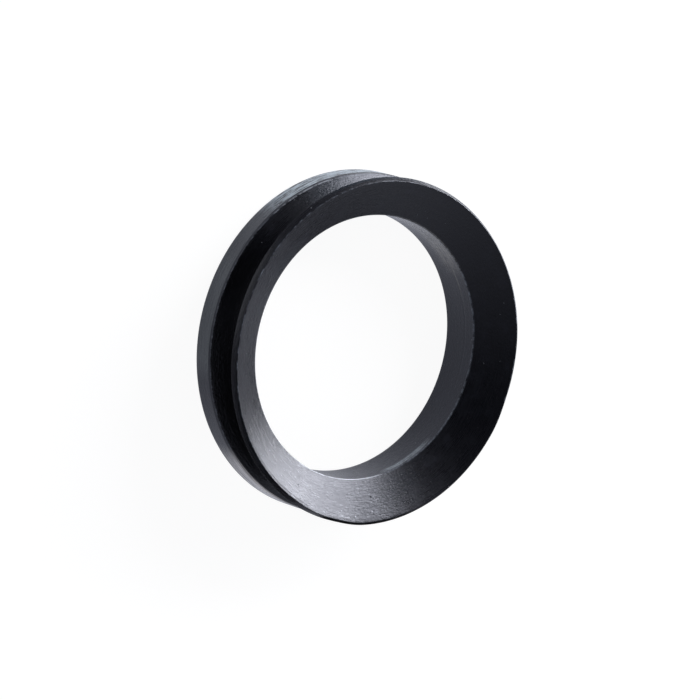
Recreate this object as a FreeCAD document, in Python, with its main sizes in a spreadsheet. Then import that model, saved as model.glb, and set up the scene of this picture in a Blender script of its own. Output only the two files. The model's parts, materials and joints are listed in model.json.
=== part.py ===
# Rubber sealing ring for a shaft: a stiff body that grips the shaft, a thin hinge, and
# a conical lip that runs against a flat face square to the shaft.
# The whole ring is one moulding, so it is one solid, turned from one section.
#
# Frame: +Z is the shaft's axis, from the back face to the lip. The origin is the
# centre of the back face, on which the ring lies. Lengths are in millimetres.

import FreeCAD, Part
import math
import os

import Sketcher

NODE = "sealing_ring"

# alias, length in millimetres, what it measures
SIZES = [
    ("bore_diameter", 29.0, "inside diameter before the ring is stretched on"),
    ("section_height", 4.32, "from the bore to the outside of the body"),
    ("seat_width", 4.93, "from the back face to the front end of the bore"),
    ("land_width", 2.75, "flat outside of the body, behind the groove"),
    ("free_width", 7.52, "from the back face to the edge of the free lip"),
    ("lip_setback", 0.23, "how far the lip's front edge lies inside the body"),
    ("lip_overhang", 0.5, "how far the lip's back edge stands outside its front edge"),
    ("lip_end_height", 0.49, "from the lip's back edge up to its front edge"),
    ("lip_root_thickness", 1.0, "lip at the groove's root, square to its front face"),
    ("hinge_height", 1.3, "rubber left between the bore and the groove's root"),
    ("relief_length", 1.53, "front stretch of the bore that opens towards the lip"),
    ("relief_depth", 0.08, "how far the bore has opened at its front end"),
    ("root_radius", 0.4, "round at the bottom of the groove"),
    ("land_radius", 0.4, "round on the body's front outer edge"),
    ("back_radius", 0.25, "round on the body's back outer edge"),
    ("bore_radius", 0.2, "round where the back face meets the bore"),
    ("front_radius", 0.15, "round where the lip's front face meets the bore"),
    ("lip_radius", 0.14, "round on the two edges of the lip's free end"),
]

# A round takes at most this share of the wall that it lies on.
WALL_SHARE = 0.45

# The section's corners in the order in which its outline is drawn.
CORNERS = [
    "back_bore",
    "back_outside",
    "land_front",
    "groove_root",
    "lip_back_edge",
    "lip_front_edge",
    "front_bore",
    "relief_start",
]

# How a sketch counts a line's two ends, its own origin and its level axis.
START = 1
END = 2
ORIGIN = -1
LEVEL_AXIS = -1

# The section is turned through this many degrees.
FULL_TURN = 360.0

# An edge this near to a corner of the section is that corner's edge.
SAME_PLACE = 1e-4

# Two volumes whose ratio is this near to one are the same.
SAME_VOLUME = 1e-9


def make_sheet(doc):
    """The driving dimensions, one to a row: name, value and meaning."""
    sheet = doc.addObject("Spreadsheet::Sheet", "Sizes")
    for row, (alias, length, meaning) in enumerate(SIZES, start=1):
        sheet.set(f"A{row}", alias)
        sheet.set(f"B{row}", str(length))
        sheet.setAlias(f"B{row}", alias)
        sheet.set(f"C{row}", meaning)
    doc.recompute()
    return sheet


def rough_section(sheet):
    """Where the corners start. Only the groove's root still has to move from here."""
    bore = sheet.bore_diameter / 2
    outside = bore + sheet.section_height
    lip = outside - sheet.lip_setback
    return {
        "back_bore": (bore, 0),
        "back_outside": (outside, 0),
        "land_front": (outside, sheet.land_width),
        "groove_root": (bore + sheet.hinge_height, sheet.seat_width - sheet.lip_root_thickness),
        "lip_back_edge": (lip + sheet.lip_overhang, sheet.free_width - sheet.lip_end_height),
        "lip_front_edge": (lip, sheet.free_width),
        "front_bore": (bore + sheet.relief_depth, sheet.seat_width),
        "relief_start": (bore, sheet.seat_width - sheet.relief_length),
    }


def draw_section(body, sheet):
    """The ring's section, with the shaft's axis as the sketch's upright axis."""
    sketch = body.newObject("Sketcher::SketchObject", "Section")
    plane = next(o for o in body.Origin.OriginFeatures if o.Role == "XZ_Plane")
    sketch.AttachmentSupport = [(plane, "")]
    sketch.MapMode = "FlatFace"

    rough = rough_section(sheet)
    points = [FreeCAD.Vector(*rough[name], 0) for name in CORNERS]
    for begin, finish in zip(points, points[1:] + points[:1]):
        sketch.addGeometry(Part.LineSegment(begin, finish), False)
    for number in range(len(CORNERS)):
        following = (number + 1) % len(CORNERS)
        sketch.addConstraint(Sketcher.Constraint("Coincident", number, END, following, START))

    def corner(name):
        """A corner is the start of the line that leaves it."""
        return CORNERS.index(name), START

    def line_from(name):
        """The line that leaves a corner has that corner's number."""
        return CORNERS.index(name)

    def tie(*facts):
        sketch.addConstraint(Sketcher.Constraint(*facts))

    def measure(alias, kind, *facts, share=1.0):
        """A dimension that follows its cell in the sheet, or a share of it."""
        start_value = share * getattr(sheet, alias)
        number = sketch.addConstraint(Sketcher.Constraint(kind, *facts, start_value))
        sketch.renameConstraint(number, alias)
        sketch.setExpression(f"Constraints.{alias}", f"{share} * Sizes.{alias}")

    back = corner("back_bore")
    outside = corner("back_outside")
    lip_edge = corner("lip_front_edge")
    front = corner("front_bore")
    root = corner("groove_root")

    tie("PointOnObject", *back, LEVEL_AXIS)
    tie("Horizontal", line_from("back_bore"))
    tie("Vertical", line_from("back_outside"))
    tie("Vertical", line_from("relief_start"))

    measure("bore_diameter", "DistanceX", ORIGIN, START, *back, share=0.5)
    measure("section_height", "DistanceX", *back, *outside)
    measure("land_width", "DistanceY", *outside, *corner("land_front"))
    measure("free_width", "DistanceY", *back, *lip_edge)
    measure("lip_setback", "DistanceX", *lip_edge, *outside)
    measure("lip_overhang", "DistanceX", *lip_edge, *corner("lip_back_edge"))
    measure("lip_end_height", "DistanceY", *corner("lip_back_edge"), *lip_edge)
    measure("seat_width", "DistanceY", *back, *front)
    measure("relief_depth", "DistanceX", *back, *front)
    measure("relief_length", "DistanceY", *corner("relief_start"), *front)
    measure("hinge_height", "DistanceX", *back, *root)
    measure("lip_root_thickness", "Distance", *root, line_from("lip_front_edge"))
    return sketch


def turn_section(body, sketch):
    """One full turn of the section about the shaft's axis."""
    turned = body.newObject("PartDesign::Revolution", "Turned_section")
    turned.Profile = sketch
    turned.ReferenceAxis = (sketch, ["V_Axis"])
    turned.Angle = FULL_TURN
    sketch.Visibility = False
    body.Document.recompute()
    return turned


def corner_place(sketch, name):
    """A corner's distance from the axis and its height, as the sketch has solved it."""
    point = sketch.getPoint(CORNERS.index(name), START)
    return point.x, point.y


def edge_at(shape, radius, height):
    """The name of the round edge with this radius, at this height."""
    for number, edge in enumerate(shape.Edges, start=1):
        curve = edge.Curve
        if not isinstance(curve, Part.Circle):
            continue
        if abs(curve.Radius - radius) < SAME_PLACE and abs(curve.Center.z - height) < SAME_PLACE:
            return f"Edge{number}"
    raise ValueError(f"no round edge of radius {radius} at height {height}")


def round_corners(body, sketch, base, label, corners, formula):
    """A fillet all round the ring at the named corners of its section."""
    names = [edge_at(base.Shape, *corner_place(sketch, name)) for name in corners]
    fillet = body.newObject("PartDesign::Fillet", label)
    fillet.Base = (base, names)
    fillet.setExpression("Radius", formula)
    body.Document.recompute()
    if math.isclose(fillet.Shape.Volume, base.Shape.Volume, rel_tol=SAME_VOLUME):
        raise ValueError(f"{label} rounds nothing")
    return fillet


def limited(radius, wall):
    """A round of the stated size, or less where its wall is too narrow for it."""
    return f"min(Sizes.{radius}; {WALL_SHARE} * Sizes.{wall})"


def make_ring(doc, sheet):
    """The ring as one body: its section, one turn, and the moulded rounds."""
    body = doc.addObject("PartDesign::Body", "Ring")
    body.Label = NODE
    body.Placement = FreeCAD.Placement(FreeCAD.Vector(0, 0, 0), FreeCAD.Rotation())
    section = draw_section(body, sheet)
    doc.recompute()
    last = turn_section(body, section)
    rounds = [
        ("Groove_root_round", ["groove_root"], limited("root_radius", "hinge_height")),
        ("Land_round", ["land_front"], limited("land_radius", "land_width")),
        ("Back_round", ["back_outside"], limited("back_radius", "land_width")),
        ("Bore_round", ["back_bore"], limited("bore_radius", "section_height")),
        ("Front_round", ["front_bore"], limited("front_radius", "relief_length")),
        ("Lip_round", ["lip_back_edge", "lip_front_edge"], limited("lip_radius", "lip_end_height")),
    ]
    for label, corners, formula in rounds:
        last = round_corners(body, section, last, label, corners, formula)
    body.Tip = last
    doc.recompute()
    return body


def check(doc, body):
    """Stops where a feature has failed or the ring isn't one closed solid."""
    failed = [o.Name for o in doc.Objects if {"Invalid", "Error"} & set(o.State)]
    if failed:
        raise ValueError(f"these features failed: {failed}")
    shape = body.Shape
    if shape.isNull() or not shape.isValid() or len(shape.Solids) != 1:
        raise ValueError(f"{body.Label} isn't one valid solid")


def main():
    doc = FreeCAD.newDocument("SealingRing")
    sheet = make_sheet(doc)
    body = make_ring(doc, sheet)
    check(doc, body)
    os.makedirs("parts", exist_ok=True)
    body.Shape.exportStep(f"parts/{body.Label}.step")
    box = body.Shape.optimalBoundingBox(True, False)
    print(f"{body.Label}: {box.XLength:.2f} x {box.YLength:.2f} x {box.ZLength:.2f} mm")
    print(f"volume {body.Shape.Volume:.1f} cubic mm, lowest point at {box.ZMin:.3f} mm")


main()
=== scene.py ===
# %% [markdown]
# # A black rubber sealing ring
#
# The real thing is one piece of moulded rubber. A stiff body is stretched over a shaft, and
# a thin cone of rubber, the lip, stands out from it over a deep groove and rubs on a flat
# face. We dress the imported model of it: a finer mesh of the same section, a satin rubber
# made from nodes, a pale floor and soft light.
#
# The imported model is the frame. Its Z is the ring's axis, the ring lies on its back face at
# height zero, and every length in Blender is in metres.

# %% Load the frame
import json
import math

import bmesh
import bpy
from mathutils import Matrix, Quaternion, Vector


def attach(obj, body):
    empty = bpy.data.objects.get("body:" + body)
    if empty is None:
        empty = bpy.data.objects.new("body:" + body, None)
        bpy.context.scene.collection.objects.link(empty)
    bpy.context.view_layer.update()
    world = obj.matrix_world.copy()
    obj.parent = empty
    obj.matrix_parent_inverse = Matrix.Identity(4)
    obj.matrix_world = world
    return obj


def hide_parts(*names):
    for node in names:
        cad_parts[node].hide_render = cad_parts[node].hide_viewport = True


MM = 0.001
NODE = "sealing_ring"

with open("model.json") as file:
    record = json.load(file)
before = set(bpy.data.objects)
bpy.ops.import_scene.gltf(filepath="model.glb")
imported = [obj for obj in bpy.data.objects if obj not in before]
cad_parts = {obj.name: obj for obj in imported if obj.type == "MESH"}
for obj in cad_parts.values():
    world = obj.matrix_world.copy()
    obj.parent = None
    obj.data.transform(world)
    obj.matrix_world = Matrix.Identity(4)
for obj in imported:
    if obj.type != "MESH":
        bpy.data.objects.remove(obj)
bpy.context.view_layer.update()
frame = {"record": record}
scene = bpy.context.scene
scene.view_settings.view_transform = "Standard"

# %% [markdown]
# ## The camera
#
# The photograph was taken from far off with a long lens: the ring's circles are almost
# plain ellipses. We could turn the ring and keep the camera level, but the ring has to lie
# on the floor as it would come to rest. So the camera looks down on it instead, and is
# rolled about its own line of sight until the lip faces right, as in the photograph.

# %% The photograph's camera
IMAGE_PIXELS = 700
SENSOR_WIDTH = 36.0
FOCAL_PIXELS = 5000
VIEW_ELEVATION = math.radians(52.91)
VIEW_ROLL = math.radians(106.48)
VIEW_DISTANCE = 539.6 * MM
AIM_HEIGHT = 7.52 * MM
LIP_RIGHT_OF_CENTRE = 3.23 * MM
LIP_BELOW_CENTRE = 0.18 * MM
NEAREST_SEEN = 10 * MM
FARTHEST_SEEN = 20

towards_camera = Vector((0, -math.cos(VIEW_ELEVATION), math.sin(VIEW_ELEVATION)))
level_right = Vector((1, 0, 0))
level_up = towards_camera.cross(level_right)
picture_right = math.cos(VIEW_ROLL) * level_right + math.sin(VIEW_ROLL) * level_up
picture_up = -math.sin(VIEW_ROLL) * level_right + math.cos(VIEW_ROLL) * level_up

camera_data = bpy.data.cameras.new("Camera")
camera_data.sensor_width = SENSOR_WIDTH
camera_data.lens = FOCAL_PIXELS * SENSOR_WIDTH / IMAGE_PIXELS
camera_data.clip_start = NEAREST_SEEN
camera_data.clip_end = FARTHEST_SEEN
camera = bpy.data.objects.new("Camera", camera_data)
scene.collection.objects.link(camera)
scene.camera = camera
camera_place = (
    Vector((0, 0, AIM_HEIGHT))
    - LIP_RIGHT_OF_CENTRE * picture_right
    + LIP_BELOW_CENTRE * picture_up
    + VIEW_DISTANCE * towards_camera
)
turn = Matrix((picture_right, picture_up, towards_camera)).transposed()
camera.matrix_world = Matrix.Translation(camera_place) @ turn.to_4x4()
print("the lens is", round(camera_data.lens, 1), "mm long")

# %% [markdown]
# ## The section
#
# A moulded ring is its section, turned once. We write the section's sharp corners first,
# as the mould maker's drawing would, with the radius of the round that each corner gets.
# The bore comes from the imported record, so the dressed ring grips the same shaft.

# %% Corners of the section
bore_mount = next(m for m in frame["record"]["mounts"] if m["name"] == "shaft_bore")
BORE = bore_mount["dims"]["r_mm"] * MM
OUTSIDE = BORE + 4.32 * MM
LAND_BEVEL = 2.30 * MM
LAND_FRONT = 2.60 * MM
LAND_BEVEL_DEPTH = 0.10 * MM
SEAT_FRONT = 4.93 * MM
RELIEF_START = 3.4 * MM
RELIEF_DEPTH = 0.02 * MM
HINGE = 1.3 * MM
GROOVE_ROOT = 4.53 * MM
LIP_EDGE_HEIGHT = 7.50 * MM
LIP_FRONT_EDGE = OUTSIDE - 0.26 * MM
LIP_BACK_EDGE = OUTSIDE + 0.20 * MM
LIP_END_HEIGHT = 0.48 * MM

# name: distance from the axis, height, radius of the round
SECTION = {
    "back bore": (BORE, 0, 0.1 * MM),
    "back outside": (OUTSIDE, 0, 0.14 * MM),
    "land bevel": (OUTSIDE, LAND_BEVEL, 0.12 * MM),
    "land front": (OUTSIDE - LAND_BEVEL_DEPTH, LAND_FRONT, 0.04 * MM),
    "groove root": (BORE + HINGE, GROOVE_ROOT, 0.4 * MM),
    "lip back edge": (LIP_BACK_EDGE, LIP_EDGE_HEIGHT - LIP_END_HEIGHT, 0.02 * MM),
    "lip front edge": (LIP_FRONT_EDGE, LIP_EDGE_HEIGHT, 0.08 * MM),
    "front bore": (BORE + RELIEF_DEPTH, SEAT_FRONT, 0.03 * MM),
    "relief start": (BORE, RELIEF_START, 3 * MM),
}
print("the section has", len(SECTION), "corners")

# %% [markdown]
# ## Turning the section
#
# Three ways lead from a section to a ring: a Screw modifier, an extrusion along a circle,
# or bmesh's spin operator. Spin leaves a plain mesh that can still be touched up, so we
# take it. Each corner is rounded while the section is still a flat outline, because a
# bevel of one point there is cheap and exact. The walls are then divided finely, so that
# the small faults of a moulding have points to move.


# %% Round the corners while the section is flat
ROUND_STEPS = 6
WALL_STEP = 0.32 * MM


def cut_back(name):
    """How far the round at a corner reaches along its two walls."""
    names = list(SECTION)
    number = names.index(name)
    here = Vector(SECTION[name][:2])
    before = Vector(SECTION[names[number - 1]][:2]) - here
    after = Vector(SECTION[names[(number + 1) % len(names)]][:2]) - here
    return SECTION[name][2] / math.tan(before.angle(after) / 2)


def outline():
    """The section as a closed line of edges in the X-Z plane, with its corners rounded."""
    mesh = bmesh.new()
    points = {name: mesh.verts.new((across, 0, up)) for name, (across, up, _) in SECTION.items()}
    in_order = list(points.values())
    for first, second in zip(in_order, in_order[1:] + in_order[:1]):
        mesh.edges.new((first, second))
    for name, point in points.items():
        bmesh.ops.bevel(
            mesh,
            geom=[point],
            offset=cut_back(name),
            offset_type="OFFSET",
            segments=ROUND_STEPS,
            profile=0.5,
            affect="VERTICES",
            material=-1,
        )
    for wall in mesh.edges[:]:
        cuts = int(wall.calc_length() / WALL_STEP)
        if cuts:
            bmesh.ops.subdivide_edges(mesh, edges=[wall], cuts=cuts)
    return mesh


ring_mesh = outline()
print("the outline has", len(ring_mesh.verts), "points")

# %% [markdown]
# ## One eighth first
#
# Spin looks through the whole mesh at every step, so 600 steps in one go take a quarter of a
# minute. We spin one eighth, then spin that eighth seven times as a copy and merge the
# seams. The ring is the same and is ready in a second.

# %% Turn the outline into a ring
EIGHTHS = 8
STEPS_IN_EIGHTH = 76
EIGHTH = 2 * math.pi / EIGHTHS
SEAM = 0.001 * MM

bmesh.ops.spin(
    ring_mesh,
    geom=ring_mesh.verts[:] + ring_mesh.edges[:],
    cent=(0, 0, 0),
    axis=(0, 0, 1),
    angle=EIGHTH,
    steps=STEPS_IN_EIGHTH,
    use_merge=False,
    use_duplicate=False,
)
bmesh.ops.spin(
    ring_mesh,
    geom=ring_mesh.verts[:] + ring_mesh.edges[:] + ring_mesh.faces[:],
    cent=(0, 0, 0),
    axis=(0, 0, 1),
    angle=2 * math.pi - EIGHTH,
    steps=EIGHTHS - 1,
    use_merge=False,
    use_duplicate=True,
)
bmesh.ops.remove_doubles(ring_mesh, verts=ring_mesh.verts, dist=SEAM)
bmesh.ops.recalc_face_normals(ring_mesh, faces=ring_mesh.faces)
open_edges = sum(1 for edge in ring_mesh.edges if len(edge.link_faces) != 2)
print("the ring has", len(ring_mesh.faces), "faces and", open_edges, "open edges")

# %% [markdown]
# ## A lip that isn't quite round
#
# Rubber comes out of the mould soft, and a thin lip never springs back to a perfect circle.
# In the photograph one quarter of the lip bulges out, and on the far side its back edge is
# curled in, so the end face is narrower there. We could tilt the section there, but moving
# the finished points is simpler: each point of the lip is moved along its radius, most at
# the free edge and not at all at the hinge. The bulge ends at the X and Y axes, so the ring
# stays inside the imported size. Near the X axis only the front edge leans out.

# %% How far a point of the lip may move
LIP_ROOT = 5.0 * MM
LIP_BEND = 1.5
CONE_SLOPE = (LIP_EDGE_HEIGHT - SEAT_FRONT) / (LIP_FRONT_EDGE - BORE - RELIEF_DEPTH)


def behind_cone(across, height):
    """How far a point lies below the cone's front face."""
    return SEAT_FRONT + CONE_SLOPE * (across - BORE - RELIEF_DEPTH) - height


def lip_share(height):
    """How much of a move a point at this height gets, from 0 at the hinge to 1."""
    share = (height - LIP_ROOT) / (LIP_EDGE_HEIGHT - LIP_ROOT)
    return max(0.0, min(1.0, share)) ** LIP_BEND


def smooth(share):
    """A share from 0 to 1, eased at both ends."""
    share = max(0.0, min(1.0, share))
    return share * share * (3 - 2 * share)


def hump(angle, reach):
    """1 in the middle of a stretch, falling to 0 at its ends."""
    return math.cos(angle / reach * math.pi / 2) ** 2


BACK_EDGE_DEPTH = behind_cone(LIP_BACK_EDGE, LIP_EDGE_HEIGHT - LIP_END_HEIGHT)
print("the cone is", round(BACK_EDGE_DEPTH / MM, 2), "mm deep at the lip's back edge")

# %% Bulge the lip, curl its back edge and lean its front edge
LIP_WAVES = 3
LIP_WAVE = 0.008 * MM
LIP_BULGE = 0.262 * MM
BULGE_FROM = math.radians(1)
BULGE_TO = math.radians(89)
BULGE_END = math.radians(14)
LIP_CURL = 0.25 * MM
LIP_CURL_TOWARDS = math.radians(155)
LIP_CURL_REACH = math.radians(52)
LIP_LEAN = 0.18 * MM
LIP_LEAN_REACH = math.radians(21)

moved = 0
for point in ring_mesh.verts:
    share = lip_share(point.co.z)
    if share > 0:
        across = Vector((point.co.x, point.co.y, 0))
        angle = math.atan2(point.co.y, point.co.x)
        outwards = -LIP_WAVE * (0.5 + 0.5 * math.sin(LIP_WAVES * angle))
        ends = smooth((angle - BULGE_FROM) / BULGE_END) * smooth((BULGE_TO - angle) / BULGE_END)
        outwards += LIP_BULGE * ends
        back = min(1.0, max(0.0, behind_cone(across.length, point.co.z) / BACK_EDGE_DEPTH))
        from_curl = abs((angle - LIP_CURL_TOWARDS + math.pi) % (2 * math.pi) - math.pi)
        if from_curl < LIP_CURL_REACH:
            outwards -= LIP_CURL * back * hump(from_curl, LIP_CURL_REACH)
        if abs(angle) < LIP_LEAN_REACH:
            outwards += LIP_LEAN * (1 - back) * hump(angle, LIP_LEAN_REACH)
        point.co += share * outwards * across.normalized()
        moved += 1
print("the lip's", moved, "points moved")

# %% [markdown]
# ## From mesh to object
#
# A bmesh is only a draft: it becomes a mesh, and an object shows it. Plain smooth shading
# would bend the light on the walls beside the narrow rounds. We could split the mesh at
# its edges, but weighted normals keep the flat walls flat and leave the skin whole.


# %% Make the ring an object
FLAT_WALL_WEIGHT = 80


def make_object(name, mesh):
    """An object of a finished bmesh, linked to the scene."""
    data = bpy.data.meshes.new(name)
    mesh.to_mesh(data)
    mesh.free()
    made = bpy.data.objects.new(name, data)
    scene.collection.objects.link(made)
    return made


ring = make_object("rubber_ring", ring_mesh)
ring.data.polygons.foreach_set("use_smooth", [True] * len(ring.data.polygons))
weighted = ring.modifiers.new("flat walls stay flat", "WEIGHTED_NORMAL")
weighted.keep_sharp = False
weighted.weight = FLAT_WALL_WEIGHT
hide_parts(NODE)
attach(ring, "root")
print("the ring stands for the node", NODE)

# %% [markdown]
# ## Node helpers
#
# Materials are written as trees of nodes. A few short helpers keep those trees readable:
# they add a node and feed it, and name the kinds of node that come again and again. A
# group is a small tree of its own with named inputs and outputs. We use groups for the
# patterns that come more than once, each time with other values.


# %% Helpers for node trees
def add_node(tree, kind, inputs=None, **settings):
    """A new node. inputs maps a socket's name or number to a value or to another socket."""
    made = tree.nodes.new(kind)
    for name, value in settings.items():
        setattr(made, name, value)
    for name, value in (inputs or {}).items():
        if isinstance(value, bpy.types.NodeSocket):
            tree.links.new(value, made.inputs[name])
        else:
            made.inputs[name].default_value = value
    return made


def add_math(tree, operation, first, second=0.0, clamp=False):
    """The output of a Math node fed with two numbers or sockets."""
    made = add_node(tree, "ShaderNodeMath", {0: first, 1: second}, operation=operation, use_clamp=clamp)
    return made.outputs[0]


def vector_math(tree, operation, inputs):
    """A Vector Math node."""
    return add_node(tree, "ShaderNodeVectorMath", inputs, operation=operation)


def add_ramp(tree, value, start, end, low=0.0, high=1.0):
    """A value changed smoothly from low to high between two marks."""
    marks = {"Value": value, "From Min": start, "From Max": end, "To Min": low, "To Max": high}
    return add_node(tree, "ShaderNodeMapRange", marks, interpolation_type="SMOOTHSTEP").outputs[0]


COLOUR_SHARE, COLOUR_FIRST, COLOUR_SECOND, COLOUR_RESULT = 0, 6, 7, 2


def mix_colours(tree, share, first, second):
    """The output of a Mix node for colours. Each input is a colour or a socket."""
    inputs = {COLOUR_SHARE: share, COLOUR_FIRST: first, COLOUR_SECOND: second}
    return add_node(tree, "ShaderNodeMix", inputs, data_type="RGBA").outputs[COLOUR_RESULT]


def empty_tree(owner):
    """The emptied node tree of a material or a world."""
    owner.use_nodes = True
    owner.node_tree.nodes.clear()
    return owner.node_tree


print("node helpers ready")

# %% Helper for node groups
NUMBER = "NodeSocketFloat"
VECTOR = "NodeSocketVector"


def new_group(name, inputs, outputs):
    """An empty node group. Each socket is a name and its kind."""
    group = bpy.data.node_groups.new(name, "ShaderNodeTree")
    for socket, kind in inputs.items():
        group.interface.new_socket(socket, in_out="INPUT", socket_type=kind)
    for socket, kind in outputs.items():
        group.interface.new_socket(socket, in_out="OUTPUT", socket_type=kind)
    return group, group.nodes.new("NodeGroupInput"), group.nodes.new("NodeGroupOutput")


print("group helper ready")

# %% [markdown]
# ## Where a point lies on the ring
#
# Every pattern on this ring runs round it: the mould was turned on a lathe, so its tool
# marks are circles, and the ring was trimmed while it turned. A plain noise in X, Y and Z
# would cut across those circles. So the first group changes a point into what a turner
# would measure: the distance from the axis, the height, and the direction from the axis.
# They are in millimetres, because the patterns are easier to judge in them.

# %% Group: place on the ring
PER_MM = 1000.0


def make_place_group():
    """Turns a position in metres into the place on the ring in millimetres."""
    group, given, result = new_group(
        "place_on_ring",
        {"Position": VECTOR},
        {"Position mm": VECTOR, "Radius": NUMBER, "Height": NUMBER, "Direction": VECTOR},
    )
    scaled = vector_math(group, "SCALE", {0: given.outputs["Position"], "Scale": PER_MM})
    parts = add_node(group, "ShaderNodeSeparateXYZ", {0: scaled.outputs["Vector"]})
    flat = add_node(group, "ShaderNodeCombineXYZ", {0: parts.outputs["X"], 1: parts.outputs["Y"]})
    length = vector_math(group, "LENGTH", {0: flat.outputs[0]})
    unit = vector_math(group, "NORMALIZE", {0: flat.outputs[0]})
    group.links.new(scaled.outputs["Vector"], result.inputs["Position mm"])
    group.links.new(length.outputs["Value"], result.inputs["Radius"])
    group.links.new(parts.outputs["Z"], result.inputs["Height"])
    group.links.new(unit.outputs["Vector"], result.inputs["Direction"])
    return group


place_group = make_place_group()
print("group made:", place_group.name)

# %% [markdown]
# ## Streaks that run round
#
# A streak is noise that changes slowly round the ring and fast across it. An angle would do
# for the slow part, but it jumps where the circle closes. The direction from the axis, a
# unit vector, has no such jump, so a four-dimensional noise of that direction, the radius
# and the height has no seam.


# %% Group: streaks
def make_streak_group():
    """Noise drawn out round the ring."""
    group, given, result = new_group(
        "streaks",
        {
            "Direction": VECTOR,
            "Radius": NUMBER,
            "Height": NUMBER,
            "Streaks in a turn": NUMBER,
            "Spacing": NUMBER,
        },
        {"Streak": NUMBER},
    )
    round_scale = add_math(group, "DIVIDE", given.outputs["Streaks in a turn"], 2 * math.pi)
    around = vector_math(group, "SCALE", {0: given.outputs["Direction"], "Scale": round_scale})
    across = add_math(group, "DIVIDE", given.outputs["Radius"], given.outputs["Spacing"])
    along = add_math(group, "DIVIDE", given.outputs["Height"], given.outputs["Spacing"])
    lift = add_node(group, "ShaderNodeCombineXYZ", {2: across})
    place = vector_math(group, "ADD", {0: around.outputs["Vector"], 1: lift.outputs[0]})
    noise = add_node(
        group,
        "ShaderNodeTexNoise",
        {"Vector": place.outputs["Vector"], "W": along, "Scale": 1.0, "Detail": 2.0, "Roughness": 0.6},
        noise_dimensions="4D",
    )
    group.links.new(noise.outputs["Fac"], result.inputs["Streak"])
    return group


streak_group = make_streak_group()
print("group made:", streak_group.name)

# %% [markdown]
# ## Edges that catch the light
#
# The edges of a moulded ring are its most handled places. They are polished or scuffed in broken lines,
# and their rounds catch the light, so pale lines painted along them are partly wear and partly painted
# highlight. The next group masks the neighbourhood of one edge circle, given by its radius and height,
# and noise breaks the line up: where the noise is below Breaks, the line is gone.

# %% Group: line along an edge
LINE_CORE = 0.3
LINE_WHOLE = 0.7


def make_edge_group():
    """A line that is full to a core of its width, and whole where the noise is strong."""
    group, given, result = new_group(
        "edge_line",
        {
            "Position mm": VECTOR,
            "Radius": NUMBER,
            "Height": NUMBER,
            "Edge radius": NUMBER,
            "Edge height": NUMBER,
            "Width": NUMBER,
            "Breaks": NUMBER,
        },
        {"Mask": NUMBER},
    )
    across = add_math(group, "SUBTRACT", given.outputs["Radius"], given.outputs["Edge radius"])
    up = add_math(group, "SUBTRACT", given.outputs["Height"], given.outputs["Edge height"])
    across_squared = add_math(group, "MULTIPLY", across, across)
    up_squared = add_math(group, "MULTIPLY", up, up)
    distance = add_math(group, "SQRT", add_math(group, "ADD", across_squared, up_squared))
    share = add_math(group, "DIVIDE", distance, given.outputs["Width"])
    noise = add_node(
        group,
        "ShaderNodeTexNoise",
        {"Vector": given.outputs["Position mm"], "Scale": 1.7, "Detail": 3.0, "Roughness": 0.7},
    )
    broken = add_node(
        group,
        "ShaderNodeMapRange",
        {"Value": noise.outputs["Fac"], "From Min": given.outputs["Breaks"], "From Max": LINE_WHOLE},
    )
    near = add_ramp(group, share, 1.0, LINE_CORE)
    mask = add_math(group, "MULTIPLY", near, broken.outputs["Result"], clamp=True)
    group.links.new(mask, result.inputs["Mask"])
    return group


edge_group = make_edge_group()
print("group made:", edge_group.name)

# %% [markdown]
# ## Specks
#
# Dust, talc and tiny pits all look the same from here: small spots, each somewhere in its
# own cell. A Voronoi texture gives a random colour to each cell, which decides whether the
# cell has a speck at all and how large it is. The texture measures in cells, so a speck's
# radius in millimetres is its size times the cell, give or take half of it.

# %% Group: specks
SPECK_CORE = 0.4
SMALLEST_SPECK = 0.5


def make_speck_group():
    """Spots in a share of the cells."""
    group, given, result = new_group(
        "specks",
        {"Position mm": VECTOR, "Cell": NUMBER, "Share": NUMBER, "Size in cells": NUMBER},
        {"Mask": NUMBER},
    )
    scale = add_math(group, "DIVIDE", 1.0, given.outputs["Cell"])
    cells = add_node(
        group,
        "ShaderNodeTexVoronoi",
        {"Vector": given.outputs["Position mm"], "Scale": scale, "Randomness": 1.0},
        feature="F1",
    )
    chance = add_node(group, "ShaderNodeSeparateColor", {0: cells.outputs["Color"]})
    chosen = add_math(group, "LESS_THAN", chance.outputs[0], given.outputs["Share"])
    larger_or_smaller = add_math(group, "ADD", chance.outputs[1], SMALLEST_SPECK)
    reach = add_math(group, "MULTIPLY", given.outputs["Size in cells"], larger_or_smaller)
    share = add_math(group, "DIVIDE", cells.outputs["Distance"], reach)
    mask = add_math(group, "MULTIPLY", add_ramp(group, share, 1.0, SPECK_CORE), chosen, clamp=True)
    group.links.new(mask, result.inputs["Mask"])
    return group


speck_group = make_speck_group()
print("group made:", speck_group.name)

# %% [markdown]
# ## The rubber
#
# Black rubber is nearly black all over, and what we see of it is its skin: how sharply it mirrors the
# lights. So colour gets little of the detail. Most of it goes into roughness, which spreads a
# highlight, and into bump, which breaks it into fine streaks. The colour changes where something lies
# on the rubber or has rubbed it, and in a few places where light or shade is painted into it.

# %% Start the rubber
RUBBER_IOR = 1.5
MIRROR_TINT = (0.895, 0.905, 1.0, 1)

rubber = bpy.data.materials.new("satin_rubber")
rubber.use_nodes = True
rubber_tree = rubber.node_tree
shader = rubber_tree.nodes["Principled BSDF"]
shader.inputs["IOR"].default_value = RUBBER_IOR
shader.inputs["Specular Tint"].default_value = MIRROR_TINT
ring.data.materials.append(rubber)

where = add_node(rubber_tree, "ShaderNodeTexCoord")
place = add_node(
    rubber_tree, "ShaderNodeGroup", {"Position": where.outputs["Object"]}, node_tree=place_group
)
radius_mm = place.outputs["Radius"]
height_mm = place.outputs["Height"]
print("rubber started")


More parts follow.
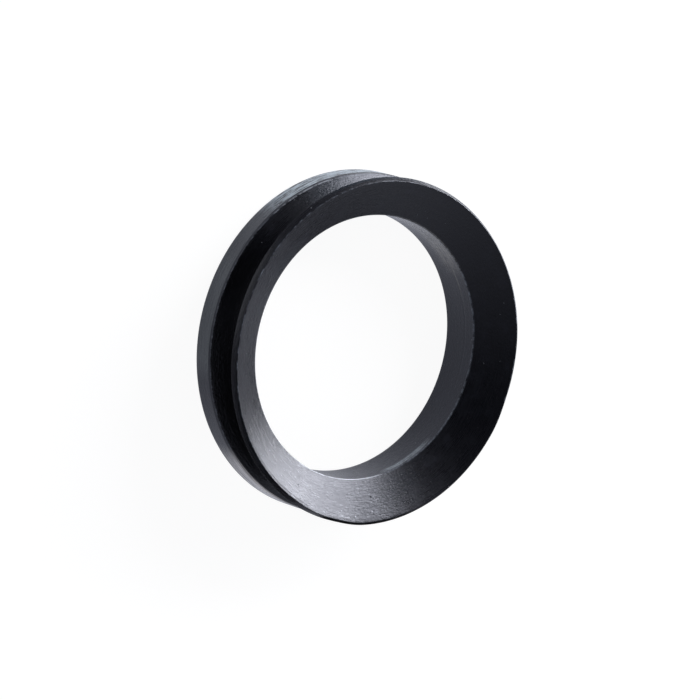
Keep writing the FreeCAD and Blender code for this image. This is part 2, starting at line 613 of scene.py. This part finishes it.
# %% Helpers that place a group in the rubber
def in_rubber(group, inputs):
    """A group's output. Its place on the ring is linked wherever it asks for it by name."""
    made = add_node(rubber_tree, "ShaderNodeGroup", inputs, node_tree=group)
    for socket in made.inputs:
        if socket.name in place.outputs:
            rubber_tree.links.new(place.outputs[socket.name], socket)
    return made.outputs[0]


def rubber_streaks(in_a_turn, spacing):
    """Streaks with so many in a turn and so many millimetres from one to the next."""
    return in_rubber(streak_group, {"Streaks in a turn": in_a_turn, "Spacing": spacing})


def rubber_edge(corner, width, breaks, outwards=0.0, forwards=0.0):
    """A broken line along a corner of the section, or beside it. Millimetres."""
    across, up, _ = SECTION[corner]
    line = {"Edge radius": across / MM + outwards, "Edge height": up / MM + forwards}
    return in_rubber(edge_group, line | {"Width": width, "Breaks": breaks})


def rubber_specks(cell, share, size):
    """Specks in a share of cells of so many millimetres, with their size in cells."""
    return in_rubber(speck_group, {"Cell": cell, "Share": share, "Size in cells": size})


def rubber_noise(scale, detail):
    """Plain noise with so many spots to a millimetre."""
    place_and_size = {"Vector": place.outputs["Position mm"], "Scale": scale, "Detail": detail}
    noise = add_node(rubber_tree, "ShaderNodeTexNoise", place_and_size | {"Roughness": 0.6})
    return noise.outputs["Fac"]


print("placing helpers ready")


# %% Helpers that combine masks in the rubber
def ramp(value, start, end, low=0.0, high=1.0):
    """A value changed smoothly from low to high between two marks."""
    return add_ramp(rubber_tree, value, start, end, low, high)


def plus(first, second, clamp=False):
    """The sum of two masks."""
    return add_math(rubber_tree, "ADD", first, second, clamp)


def times(*factors):
    """The product of masks and numbers."""
    product = factors[0]
    for factor in factors[1:]:
        product = add_math(rubber_tree, "MULTIPLY", product, factor)
    return product


def larger(*masks):
    """The largest of several masks at each point."""
    largest = masks[0]
    for mask in masks[1:]:
        largest = add_math(rubber_tree, "MAXIMUM", largest, mask)
    return largest


def add_up(start, weighted_masks):
    """A start value and a list of masks, each times its weight."""
    for mask, weight in weighted_masks:
        start = plus(start, times(mask, weight))
    return start


print("mask helpers ready")

# %% [markdown]
# ## Marks from the mould
#
# The mould was turned, and its tool left fine circles that the rubber copies. One streak
# pattern would look like a record's groove, so four of different length and spacing are
# placed, from broad bands to hair lines. Plain noise adds the grain of the rubber, and
# larger clouds where the skin came off the mould a little differently.

# %% Tool marks, grain and clouds
tool_marks = rubber_streaks(in_a_turn=26, spacing=0.16)
short_marks = rubber_streaks(in_a_turn=110, spacing=0.22)
fine_marks = rubber_streaks(in_a_turn=60, spacing=0.07)
broad_marks = rubber_streaks(in_a_turn=5, spacing=0.5)
grain = rubber_noise(scale=3.6, detail=4.0)
clouds = rubber_noise(scale=0.5, detail=3.0)
print("marks, grain and clouds placed")

# %% [markdown]
# ## Stretches round the ring
#
# Most marks lie on one side of the ring only. A stretch is chosen by comparing the direction
# from the axis with the direction to its middle. An angle would be simpler to read, but it
# jumps where the circle closes. All stretches stand in one list, so that we can see which
# marks are neighbours.

# %% Stretches of the ring
# middle, half width and softness in degrees, from +X towards +Y
STRETCHES = {
    "ground": (-154, 24, 8),
    "far ground": (95, 10, 14),
    "scuffed corner": (-140, 10, 6),
    # a paler grey-green stretch of the outside
    "pale_land": (-96, 29, 5),
    "paler land": (-82, 20, 12),
    # painted reflection on the outside
    "warm reflection": (-18, 14, 9),
    "smooth outside": (-10, 22, 10),
    "smooth bore": (166, 22, 12),
    # painted shade in the groove
    "groove shade": (-62, 50, 14),
    # painted highlight tint in the groove
    "groove sheen tint": (-165, 18, 12),
    # painted highlight streak on the relief band
    "relief_sheen": (44, 10, 6),
    # painted sheen on the bore
    "far bore sheen": (164, 20, 10),
    # painted highlight on the bore's front edge
    "edge highlight": (6, 17, 8),
    "hollow by the lip": (-42, 34, 10),
    "relief": (130, 45, 10),
    # painted highlight along the relief step
    "step sheen": (152, 18, 12),
    "flecks": (5, 25, 16),
    "talc": (-14, 34, 16),
}


def stretch(name):
    """The mask of one of the stretches."""
    middle, half_width, soft = STRETCHES[name]
    turned = math.radians(middle)
    towards = (math.cos(turned), math.sin(turned), 0)
    likeness = vector_math(rubber_tree, "DOT_PRODUCT", {0: place.outputs["Direction"], 1: towards})
    edge = math.cos(math.radians(half_width + soft))
    full = math.cos(math.radians(half_width - soft))
    return ramp(likeness.outputs["Value"], edge, full)


print(len(STRETCHES), "stretches listed")

# %% [markdown]
# ## The trimmed outside
#
# The two halves of the mould meet on the outside of the body. The thin flash that squeezes
# out there is ground off, and leaves rough light streaks over part of the turn. Elsewhere
# the moulded skin is still smooth. Two streak patterns together look more like grinding
# than one, and a faint even tone lies under them. The masks fade in and out beside the
# edges that they follow, and the small numbers say at how many millimetres from them.

# %% Streaks of the trimmed outside
BORE_MM = BORE / MM
OUTSIDE_MM = OUTSIDE / MM
BEVEL_MM = LAND_BEVEL / MM
LAND_MM = LAND_FRONT / MM
GROUND_ON_BEVEL = 0.05
FAR_GROUND = 0.3
UNDER_STREAKS = 0.12

outside = ramp(radius_mm, OUTSIDE_MM - 0.22, OUTSIDE_MM - 0.08)
land = times(outside, ramp(height_mm, LAND_MM + 0.35, LAND_MM + 0.15))
up_to_bevel = ramp(height_mm, BEVEL_MM + 0.04, BEVEL_MM - 0.08, low=GROUND_ON_BEVEL)
ground = larger(stretch("ground"), times(stretch("far ground"), FAR_GROUND))
trimmed = times(land, up_to_bevel, ground)
trim_streaks = larger(
    ramp(rubber_streaks(in_a_turn=70, spacing=0.22), 0.47, 0.57),
    ramp(rubber_streaks(in_a_turn=40, spacing=0.13), 0.52, 0.60),
)
trim_amount = times(trimmed, plus(UNDER_STREAKS, trim_streaks, clamp=True))
print("the trimmed outside placed")

# %% [markdown]
# ## A painted reflection, a paler stretch and smooth skin
#
# In two stretches the outside is paler than black rubber can be: something lies on it, or it mirrors
# something that isn't in the picture. We don't know what stood there, so a thin film of colour stands
# for it. On the warm one the outside mirrors a bright sheet that the scene doesn't have, so a pale warm
# colour is painted there: a painted reflection, with the tool marks showing through it. The other is a
# grey-green tone, paler over part of its stretch, below the bevel. The skin near the warm one, and a
# stretch of the bore opposite, is smoother than elsewhere.

# %% A painted reflection and a paler stretch on the outside, and the smooth skin
LEAST_PALENESS = 0.4
MARKS_IN_REFLECTION = 0.40

below_bevel = ramp(height_mm, BEVEL_MM + 0.10, BEVEL_MM - 0.02)
paleness = ramp(stretch("paler land"), 0.0, 1.0, low=LEAST_PALENESS)
# a paler grey-green tone over one stretch of the outside, below the bevel
pale_land = times(land, stretch("pale_land"), below_bevel, paleness)
through_marks = ramp(tool_marks, 0.40, 0.55, low=MARKS_IN_REFLECTION)
above_back_edge = ramp(height_mm, 0.20, 0.40)
# painted reflection: a pale warm colour where the outside mirrors a bright sheet
warm_reflection = times(land, stretch("warm reflection"), through_marks, above_back_edge)
in_bore = ramp(radius_mm, BORE_MM + 0.20, BORE_MM + 0.12)
smooth_skin = larger(times(land, stretch("smooth outside")), times(in_bore, stretch("smooth bore")))
print("the films and the smooth skin placed")

# %% [markdown]
# ## The groove
#
# The groove behind the lip is the darkest place of the ring, and part of it gets a darker black than
# the rubber: painted shade. The groove could get a material of its own, but its edges would be hard.
# Instead we measure how far each point lies below the cone's front face: the cone's skin is at zero,
# the lip's end just below it and the groove deeper. The bore and the outside lie deeper too, and are
# left out by radius and height. One stretch of the groove also gets a faint blue-grey where it catches
# the window: a painted highlight tint.

# %% The groove
CONE_START = SEAT_FRONT / MM - CONE_SLOPE * (BORE + RELIEF_DEPTH) / MM

cone_height = plus(times(radius_mm, CONE_SLOPE), CONE_START)
below_cone = add_math(rubber_tree, "SUBTRACT", cone_height, height_mm)
in_groove = times(
    ramp(below_cone, 0.45, 0.55),
    ramp(height_mm, LAND_MM - 0.02, LAND_MM + 0.06),
    ramp(radius_mm, BORE_MM + 0.5, BORE_MM + 0.9),
)
# painted shade: a darker black over part of the groove
groove_shade = times(in_groove, stretch("groove shade"))
# a faint blue-grey painted where the groove catches the window: a painted highlight tint
groove_sheen_tint = times(in_groove, stretch("groove sheen tint"))
print("the cone's face would reach the axis at", round(CONE_START, 2), "mm")

# %% [markdown]
# ## Worn edges and painted edge highlights
#
# Three edges get pale broken lines: the lip's front edge, the body's front corner and the front of the
# bore. The lines are partly wear and partly painted highlight, where the rounds catch the light. The
# corner's line is weaker, apart from one scuffed stretch.

# %% Worn edges and painted edge highlights
LAND_LINE_SHARE = 0.6

lip_line = rubber_edge("lip front edge", width=0.11, breaks=0.47)
land_line = times(rubber_edge("land front", width=0.11, breaks=0.40), LAND_LINE_SHARE)
bore_line = rubber_edge("front bore", width=0.18, breaks=0.35)
# edge wear and painted edge highlight in one mask
worn_and_edge_sheen = larger(lip_line, land_line, bore_line)
scuffed_corner = rubber_edge("land front", width=0.12, breaks=0.38, forwards=0.02)
scuffed_corner = times(scuffed_corner, stretch("scuffed corner"))
print("worn edges placed")

# %% [markdown]
# ## A few marks placed one by one
#
# Some marks in the photograph are single ones, such as nicks in the lip's edge. Noise can't
# put them where they are, so each gets its own place. A nick is a small ball, and whatever
# lies inside it is marked.

# %% Group: nick
NICK_CORE = 0.5


def make_nick_group():
    """A soft ball round a centre."""
    group, given, result = new_group(
        "nick", {"Position mm": VECTOR, "Centre": VECTOR, "Size": NUMBER}, {"Mask": NUMBER}
    )
    apart = vector_math(
        group, "DISTANCE", {0: given.outputs["Position mm"], 1: given.outputs["Centre"]}
    )
    share = add_math(group, "DIVIDE", apart.outputs["Value"], given.outputs["Size"])
    group.links.new(add_ramp(group, share, 1.0, NICK_CORE), result.inputs["Mask"])
    return group


nick_group = make_nick_group()
print("group made:", nick_group.name)

# %% Place the nicks
# place and size in millimetres
LIGHT_NICKS = [
    ((-11.97, -14.52, 2.01), 0.14),
    ((-13.01, -13.24, 2.79), 0.10),
    ((-13.32, -12.64, 2.93), 0.09),
    ((-11.77, -14.03, 7.23), 0.12),
    ((-9.89, -14.94, 6.98), 0.09),
    ((-1.16, -14.75, 5.04), 0.12),
    ((-16.32, -8.32, 7.23), 0.10),
    ((-16.17, -7.71, 6.98), 0.08),
    ((17.88, 3.48, 7.17), 0.13),
    ((16.89, 5.65, 6.92), 0.11),
    ((15.18, 5.38, 5.86), 0.10),
]
DARK_NICKS = [
    ((7.95, -15.94, 6.92), 0.10),
    ((16.26, -4.66, 6.36), 0.12),
    ((16.28, -4.21, 6.29), 0.10),
    ((15.47, 5.48, 6.04), 0.13),
]


def rubber_nicks(places):
    """One mask for all the nicks in a list."""
    return larger(*[in_rubber(nick_group, {"Centre": centre, "Size": size}) for centre, size in places])


light_nicks = rubber_nicks(LIGHT_NICKS)
dark_nicks = rubber_nicks(DARK_NICKS)
print(len(LIGHT_NICKS) + len(DARK_NICKS), "nicks placed")

# %% [markdown]
# ## Painted sheen, highlights and lines
#
# The bore gets a pale streak of painted highlight on the relief band, a wide pale patch of painted
# sheen on the far side, and a pale line of painted highlight along part of the step where the band
# begins. The bore's front edge gets a painted highlight in one stretch. Two lines are only relief: a
# hollow just inside the lip's front edge, and the step where the band begins. Each is a stretch of an
# edge line, wide for a patch and narrow for a line, and the fine marks break the patches up.

# %% Painted sheen, highlights and lines
RELIEF_SHEEN_SHARE = 0.8
STEP_SHEEN_SHARE = 0.35
HOLLOW_INSIDE = 0.22

# painted highlight: a pale streak on the relief band
relief_sheen = times(
    rubber_edge("relief start", width=0.50, breaks=0.10, outwards=0.05, forwards=0.95),
    times(stretch("relief_sheen"), RELIEF_SHEEN_SHARE),
    ramp(fine_marks, 0.35, 0.60, low=0.45),
)
# painted sheen: a wide pale patch on the bore where it mirrors bright floor
far_bore_sheen = times(
    rubber_edge("relief start", width=2.2, breaks=0.10),
    stretch("far bore sheen"),
    ramp(fine_marks, 0.35, 0.60, low=0.35, high=0.75),
)
relief_line = times(rubber_edge("relief start", width=0.20, breaks=0.0), stretch("relief"))
# painted highlight along part of the relief step
step_sheen_line = times(relief_line, times(stretch("step sheen"), STEP_SHEEN_SHARE))
painted_bore_sheen = times(larger(far_bore_sheen, step_sheen_line), in_bore)
# painted highlight on the bore's front edge
edge_highlight = rubber_edge("front bore", width=0.13, breaks=-0.2, outwards=0.02, forwards=0.01)
edge_highlight = times(edge_highlight, stretch("edge highlight"))
hollow = rubber_edge(
    "lip front edge",
    width=0.10,
    breaks=0.0,
    outwards=-HOLLOW_INSIDE,
    forwards=-HOLLOW_INSIDE * CONE_SLOPE,
)
hollow = times(hollow, stretch("hollow by the lip"))
print("rubs and lines placed")

# %% [markdown]
# ## Dust, talc and pits
#
# Dust and pits are everywhere. Talc, which keeps new rings from sticking together, lies on
# one side of the cone only, in and beside the highlight: short flecks along the marks, and
# tiny specks between them. They break the highlight up, as they do in the photograph.

# %% Dust, talc and pits
FLECK_SHARE = 0.32

dust = rubber_specks(cell=0.7, share=0.22, size=0.055)
pits = rubber_specks(cell=0.7, share=0.12, size=0.09)
flecks = times(ramp(short_marks, 0.60, 0.69, high=FLECK_SHARE), stretch("flecks"))
on_cone = times(ramp(below_cone, 0.20, 0.10), ramp(radius_mm, BORE_MM + 0.2, BORE_MM + 0.4))
tiny_specks = rubber_specks(cell=0.55, share=0.80, size=0.085)
talc = times(larger(flecks, tiny_specks), on_cone, stretch("talc"))
print("dust, talc and pits placed")

# %% [markdown]
# ## Colour
#
# Everything that changes the colour is a layer on the black rubber, and a mask says where it
# lies. So the colour is one list, from the rubber up, with the share of each layer that
# covers what is under it. The lowest layer is a blue-grey bloom, the wax that comes to the
# skin of many rubbers.

# %% Colour
# Some of these colours are painted light, not the rubber's own: the groove's shade, a warm reflection,
# a highlight tint in the groove, pale edge lines that are partly highlight, and sheen and highlights on
# the bore.
RUBBER_BLACK = (0.0022, 0.0023, 0.0038, 1)
GROOVE_SHADE_BLACK = (0.0010, 0.0010, 0.0014, 1)
BLOOM = (0.020, 0.022, 0.032, 1)
PALE_LAND_GREY = (0.068, 0.074, 0.074, 1)
WARM_REFLECTION_PAINT = (0.78, 0.73, 0.68, 1)
GROOVE_SHEEN_BLUE = (0.003, 0.009, 0.015, 1)
SCUFF_AND_EDGE_SHEEN = (0.26, 0.285, 0.33, 1)
GROUND_AND_SHEEN = (0.50, 0.565, 0.605, 1)
DUST = (0.50, 0.52, 0.56, 1)
BORE_SHEEN = (0.63, 0.59, 0.50, 1)
TALC_AND_HIGHLIGHT = (0.85, 0.87, 0.92, 1)

bloom = times(ramp(clouds, 0.45, 0.75), ramp(broad_marks, 0.35, 0.7, low=0.05, high=0.35))
LAYERS = [
    (bloom, BLOOM),
    # painted shade in the groove
    (groove_shade, GROOVE_SHADE_BLACK),
    # painted highlight tint in the groove
    (groove_sheen_tint, GROOVE_SHEEN_BLUE),
    # paler grey-green stretch of the outside
    (pale_land, PALE_LAND_GREY),
    # painted reflection on the outside
    (warm_reflection, WARM_REFLECTION_PAINT),
    (times(trim_amount, 0.95), GROUND_AND_SHEEN),
    (scuffed_corner, DUST),
    # edge wear and painted edge highlights
    (times(worn_and_edge_sheen, 0.7), SCUFF_AND_EDGE_SHEEN),
    # painted highlight streak on the relief band
    (relief_sheen, GROUND_AND_SHEEN),
    # painted sheen and highlight on the bore
    (painted_bore_sheen, BORE_SHEEN),
    # painted highlight on the bore's front edge
    (edge_highlight, TALC_AND_HIGHLIGHT),
    (larger(times(dust, 0.7), times(light_nicks, 0.6)), DUST),
    (times(talc, 0.7), TALC_AND_HIGHLIGHT),
]
colour = RUBBER_BLACK
for mask, layer in LAYERS:
    colour = mix_colours(rubber_tree, mask, colour, layer)
rubber_tree.links.new(colour, shader.inputs["Base Color"])
print(len(LAYERS), "layers of colour")

# %% [markdown]
# ## Roughness
#
# Satin rubber is neither matt nor shiny, and its roughness hardly changes, or the highlight
# would look patchy. Clouds and fine marks stir it a little. Ground and nicked places are
# rougher, and worn, smooth and deep places smoother.

# %% Roughness
ROUGH_LOW = 0.275
ROUGH_HIGH = 0.305
ROUGHER = [
    (trim_amount, 0.20),
    (dark_nicks, 0.40),
    (worn_and_edge_sheen, -0.08),
    (smooth_skin, -0.10),
    (groove_shade, -0.12),
]

roughness = ramp(clouds, 0.3, 0.7, low=ROUGH_LOW, high=ROUGH_HIGH)
roughness = plus(roughness, ramp(fine_marks, 0.3, 0.7, low=-0.03, high=0.04))
rubber_tree.links.new(add_up(roughness, ROUGHER), shader.inputs["Roughness"])
print("roughness from", ROUGH_LOW, "to", ROUGH_HIGH, "on plain skin")

# %% [markdown]
# ## Bump
#
# Most marks are a few thousandths of a millimetre deep. They could be moved points, but that
# would take millions, so a Bump node tilts the light instead. All heights are summed from
# one list, in shares of one depth. What is less than nothing is cut in.

# %% Bump
BUMP_DEPTH = 0.020 * MM
HEIGHTS = [
    (short_marks, 0.48),
    (edge_highlight, 1.5),
    (hollow, -1.2),
    (relief_line, -0.7),
    (fine_marks, 0.25),
    (grain, 1.45),
    (dust, 0.8),
    (pits, -1.0),
    (times(trimmed, trim_streaks), 1.6),
    (dark_nicks, -2.0),
]

relief = add_up(times(tool_marks, 0.42), HEIGHTS)
bump = add_node(
    rubber_tree, "ShaderNodeBump", {"Height": relief, "Strength": 1.0, "Distance": BUMP_DEPTH}
)
rubber_tree.links.new(bump.outputs["Normal"], shader.inputs["Normal"])
print("the rubber has", len(rubber_tree.nodes), "nodes")

# %% [markdown]
# ## Floor
#
# The ring lies on a large pale sheet. The photograph's background is bare white, so the
# sheet is seen as white by the camera and in reflections, through Light Path, and adds no
# light of its own to the ring. Part of what is seen is still plain diffuse paper, so the
# ring keeps its soft shadow. Reflections get more of that lit paper and less of the glow,
# which adds up to the same white, because black rubber shows the shade at its own foot.
# Seen from below, the sheet is clear.

# %% Make the floor
FLOOR_RADIUS = 1.8
FLOOR_SIDES = 96
FLOOR_GAP = 0.01 * MM

floor_mesh = bmesh.new()
bmesh.ops.create_circle(floor_mesh, cap_ends=True, segments=FLOOR_SIDES, radius=FLOOR_RADIUS)
bmesh.ops.translate(floor_mesh, verts=floor_mesh.verts, vec=(0, 0, -FLOOR_GAP))
floor = make_object("floor", floor_mesh)
print("the floor is", 2 * FLOOR_RADIUS, "m across")

# %% The floor's paper
PAPER = (0.8, 0.8, 0.8, 1)
SEEN_PAPER = (0.14, 0.14, 0.14, 1)
SEEN_GLOW = (0.93, 0.93, 0.93, 1)
MIRRORED_GLOW = (0.425, 0.445, 0.52, 1)
SHEEN_ROUGHNESS = 0.22
SHEEN_IOR = 1.5

paper = bpy.data.materials.new("pale_paper")
tree = empty_tree(paper)
path = add_node(tree, "ShaderNodeLightPath")
in_mirror = path.outputs["Is Glossy Ray"]
seen = add_math(tree, "MAXIMUM", path.outputs["Is Camera Ray"], in_mirror)
seen = add_math(tree, "MAXIMUM", seen, path.outputs["Is Transmission Ray"])
plain = add_node(tree, "ShaderNodeBsdfDiffuse", {"Color": PAPER})
matt_colour = mix_colours(tree, in_mirror, SEEN_PAPER, PAPER)
matt = add_node(tree, "ShaderNodeBsdfDiffuse", {"Color": matt_colour})
glow_colour = mix_colours(tree, in_mirror, SEEN_GLOW, MIRRORED_GLOW)
glow = add_node(tree, "ShaderNodeEmission", {"Color": glow_colour})
both = add_node(tree, "ShaderNodeAddShader", {0: matt.outputs[0], 1: glow.outputs[0]})
sheen = add_node(tree, "ShaderNodeBsdfGlossy", {"Roughness": SHEEN_ROUGHNESS})
sheen_share = add_node(tree, "ShaderNodeFresnel", {"IOR": SHEEN_IOR})
mirrored = add_math(tree, "MULTIPLY", in_mirror, sheen_share.outputs[0])
satin = add_node(tree, "ShaderNodeMixShader", {0: mirrored, 1: both.outputs[0], 2: sheen.outputs[0]})
front = add_node(tree, "ShaderNodeMixShader", {0: seen, 1: plain.outputs[0], 2: satin.outputs[0]})
below = add_node(tree, "ShaderNodeNewGeometry").outputs["Backfacing"]
clear = add_node(tree, "ShaderNodeBsdfTransparent")
sheet = add_node(tree, "ShaderNodeMixShader", {0: below, 1: front.outputs[0], 2: clear.outputs[0]})
add_node(tree, "ShaderNodeOutputMaterial", {"Surface": sheet.outputs[0]})
floor.data.materials.append(paper)
print("the paper has", len(tree.nodes), "nodes")

# %% [markdown]
# ## Black flags for painted shade
#
# The groove is the darkest place of the ring, far darker than the cone beside it, although both face
# the same way: it lies in shade that the scene's light doesn't cast. Strips of black card paint that
# shade into what the groove and the lip's end mirror, as a photographer's flags do. A high one leans
# over the groove, a low one stands by the lip's end. They show only in reflections, as painted shade.

# %% Stand the flags
# each strip: foot and top (distance from the axis, height), first and last direction, and
# how much it drops towards +X
FLAG_STRIPS = [
    ((25 * MM, 15.6 * MM), (20.5 * MM, 32 * MM), math.radians(-84), math.radians(-6), 0.33),
    ((22.5 * MM, 0.2 * MM), (22.5 * MM, 7.2 * MM), math.radians(4), math.radians(110), 0),
]
FLAG_STEPS = 40

flag_mesh = bmesh.new()
for foot_place, top_place, first, last, drop in FLAG_STRIPS:
    before = set(flag_mesh.verts)
    foot = flag_mesh.verts.new((foot_place[0], 0, foot_place[1]))
    top = flag_mesh.verts.new((top_place[0], 0, top_place[1]))
    side = flag_mesh.edges.new((foot, top))
    bmesh.ops.rotate(
        flag_mesh, verts=[foot, top], cent=(0, 0, 0), matrix=Matrix.Rotation(first, 3, "Z")
    )
    bmesh.ops.spin(
        flag_mesh,
        geom=[foot, top, side],
        cent=(0, 0, 0),
        axis=(0, 0, 1),
        angle=last - first,
        steps=FLAG_STEPS,
    )
    for point in set(flag_mesh.verts) - before:
        point.co.z -= drop * point.co.x
# black cards that paint shade into reflections only
shade_cards = make_object("painted_shade_cards", flag_mesh)
shade_cards.visible_camera = False
shade_cards.visible_diffuse = False
shade_cards.visible_shadow = False
shade_cards.visible_transmission = False
print("the flags have", len(shade_cards.data.polygons), "faces")

# %% The flags' card
FLAG_BLACK = (0.01, 0.01, 0.01, 1)

flag_card = bpy.data.materials.new("matt_black_shade_card")
tree = empty_tree(flag_card)
black = add_node(tree, "ShaderNodeBsdfDiffuse", {"Color": FLAG_BLACK})
add_node(tree, "ShaderNodeOutputMaterial", {"Surface": black.outputs[0]})
shade_cards.data.materials.append(flag_card)
print("the card gives back", FLAG_BLACK[0], "of the light")

# %% [markdown]
# ## Light
#
# The tones on the ring tell where the light stood. The cone is brightest where it mirrors a
# low, long window behind the ring, towards the photograph's upper right, so one long softbox
# stands there, tilted as its highlight is. A smaller, stronger lamp would give the same
# brightness, but a hard-edged highlight that the photograph doesn't have. A weak second
# softbox in front keeps the lip's end from sinking into the groove's black.

# %% Softboxes
WATTS_A_SQUARE_METRE = 4


def direction_to(azimuth, elevation):
    """A unit vector. Angles in degrees, azimuth from +X towards +Y."""
    turned, raised = math.radians(azimuth), math.radians(elevation)
    level = math.cos(raised)
    return Vector((level * math.cos(turned), level * math.sin(turned), math.sin(raised)))


def softbox(name, azimuth, elevation, tilt, distance, width, height, brightness, tint):
    """A rectangular lamp that faces the ring, as bright for its size as is asked."""
    data = bpy.data.lights.new(name, "AREA")
    data.shape = "RECTANGLE"
    data.size = width
    data.size_y = height
    data.color = tint
    data.energy = WATTS_A_SQUARE_METRE * brightness * width * height
    lamp = bpy.data.objects.new(name, data)
    scene.collection.objects.link(lamp)
    outwards = direction_to(azimuth, elevation)
    lamp.location = outwards * distance
    facing = outwards.to_track_quat("Z", "Y") @ Quaternion((0, 0, 1), math.radians(tilt))
    lamp.rotation_euler = facing.to_euler()
    lamp.visible_camera = False
    print(name, "stands at", [round(value, 2) for value in lamp.location], "m")


softbox(
    "window",
    azimuth=136.5,
    elevation=18,
    tilt=32,
    distance=0.60,
    width=0.68,
    height=0.18,
    brightness=12.0,
    tint=(0.94, 0.955, 1.0),
)
softbox(
    "front fill",
    azimuth=-102,
    elevation=24,
    tilt=0,
    distance=0.90,
    width=0.80,
    height=0.50,
    brightness=0.55,
    tint=(0.97, 0.99, 1.0),
)

# %% [markdown]
# ## The room
#
# The world is the rest of the studio. A black ring mirrors it, so its shape matters more
# than its strength: it is pale all round and dark overhead. The colour depends only on the
# angle from the darkest direction.

# %% World
ROOM = (0.50, 0.52, 0.59, 1)
DARK = (0.008, 0.0085, 0.013, 1)
DARK_AZIMUTH = -125
DARK_ELEVATION = 64
DARK_CORE = 12
DARK_REACH = 92
DEGREES = 180 / math.pi

world = bpy.data.worlds.new("studio")
scene.world = world
tree = empty_tree(world)
direction = add_node(tree, "ShaderNodeTexCoord")
darkest = direction_to(DARK_AZIMUTH, DARK_ELEVATION)
likeness = vector_math(tree, "DOT_PRODUCT", {0: direction.outputs["Generated"], 1: darkest})
from_darkest = add_math(tree, "ARCCOSINE", likeness.outputs["Value"])
from_darkest = add_math(tree, "MULTIPLY", from_darkest, DEGREES)
brightening = add_node(
    tree,
    "ShaderNodeMapRange",
    {"Value": from_darkest, "From Min": DARK_CORE, "From Max": DARK_REACH},
    interpolation_type="LINEAR",
)
sky = mix_colours(tree, brightening.outputs["Result"], DARK, ROOM)
backdrop = add_node(tree, "ShaderNodeBackground", {"Color": sky})
add_node(tree, "ShaderNodeOutputWorld", {"Surface": backdrop.outputs[0]})
print("the room is dark towards", [round(value, 2) for value in darkest])
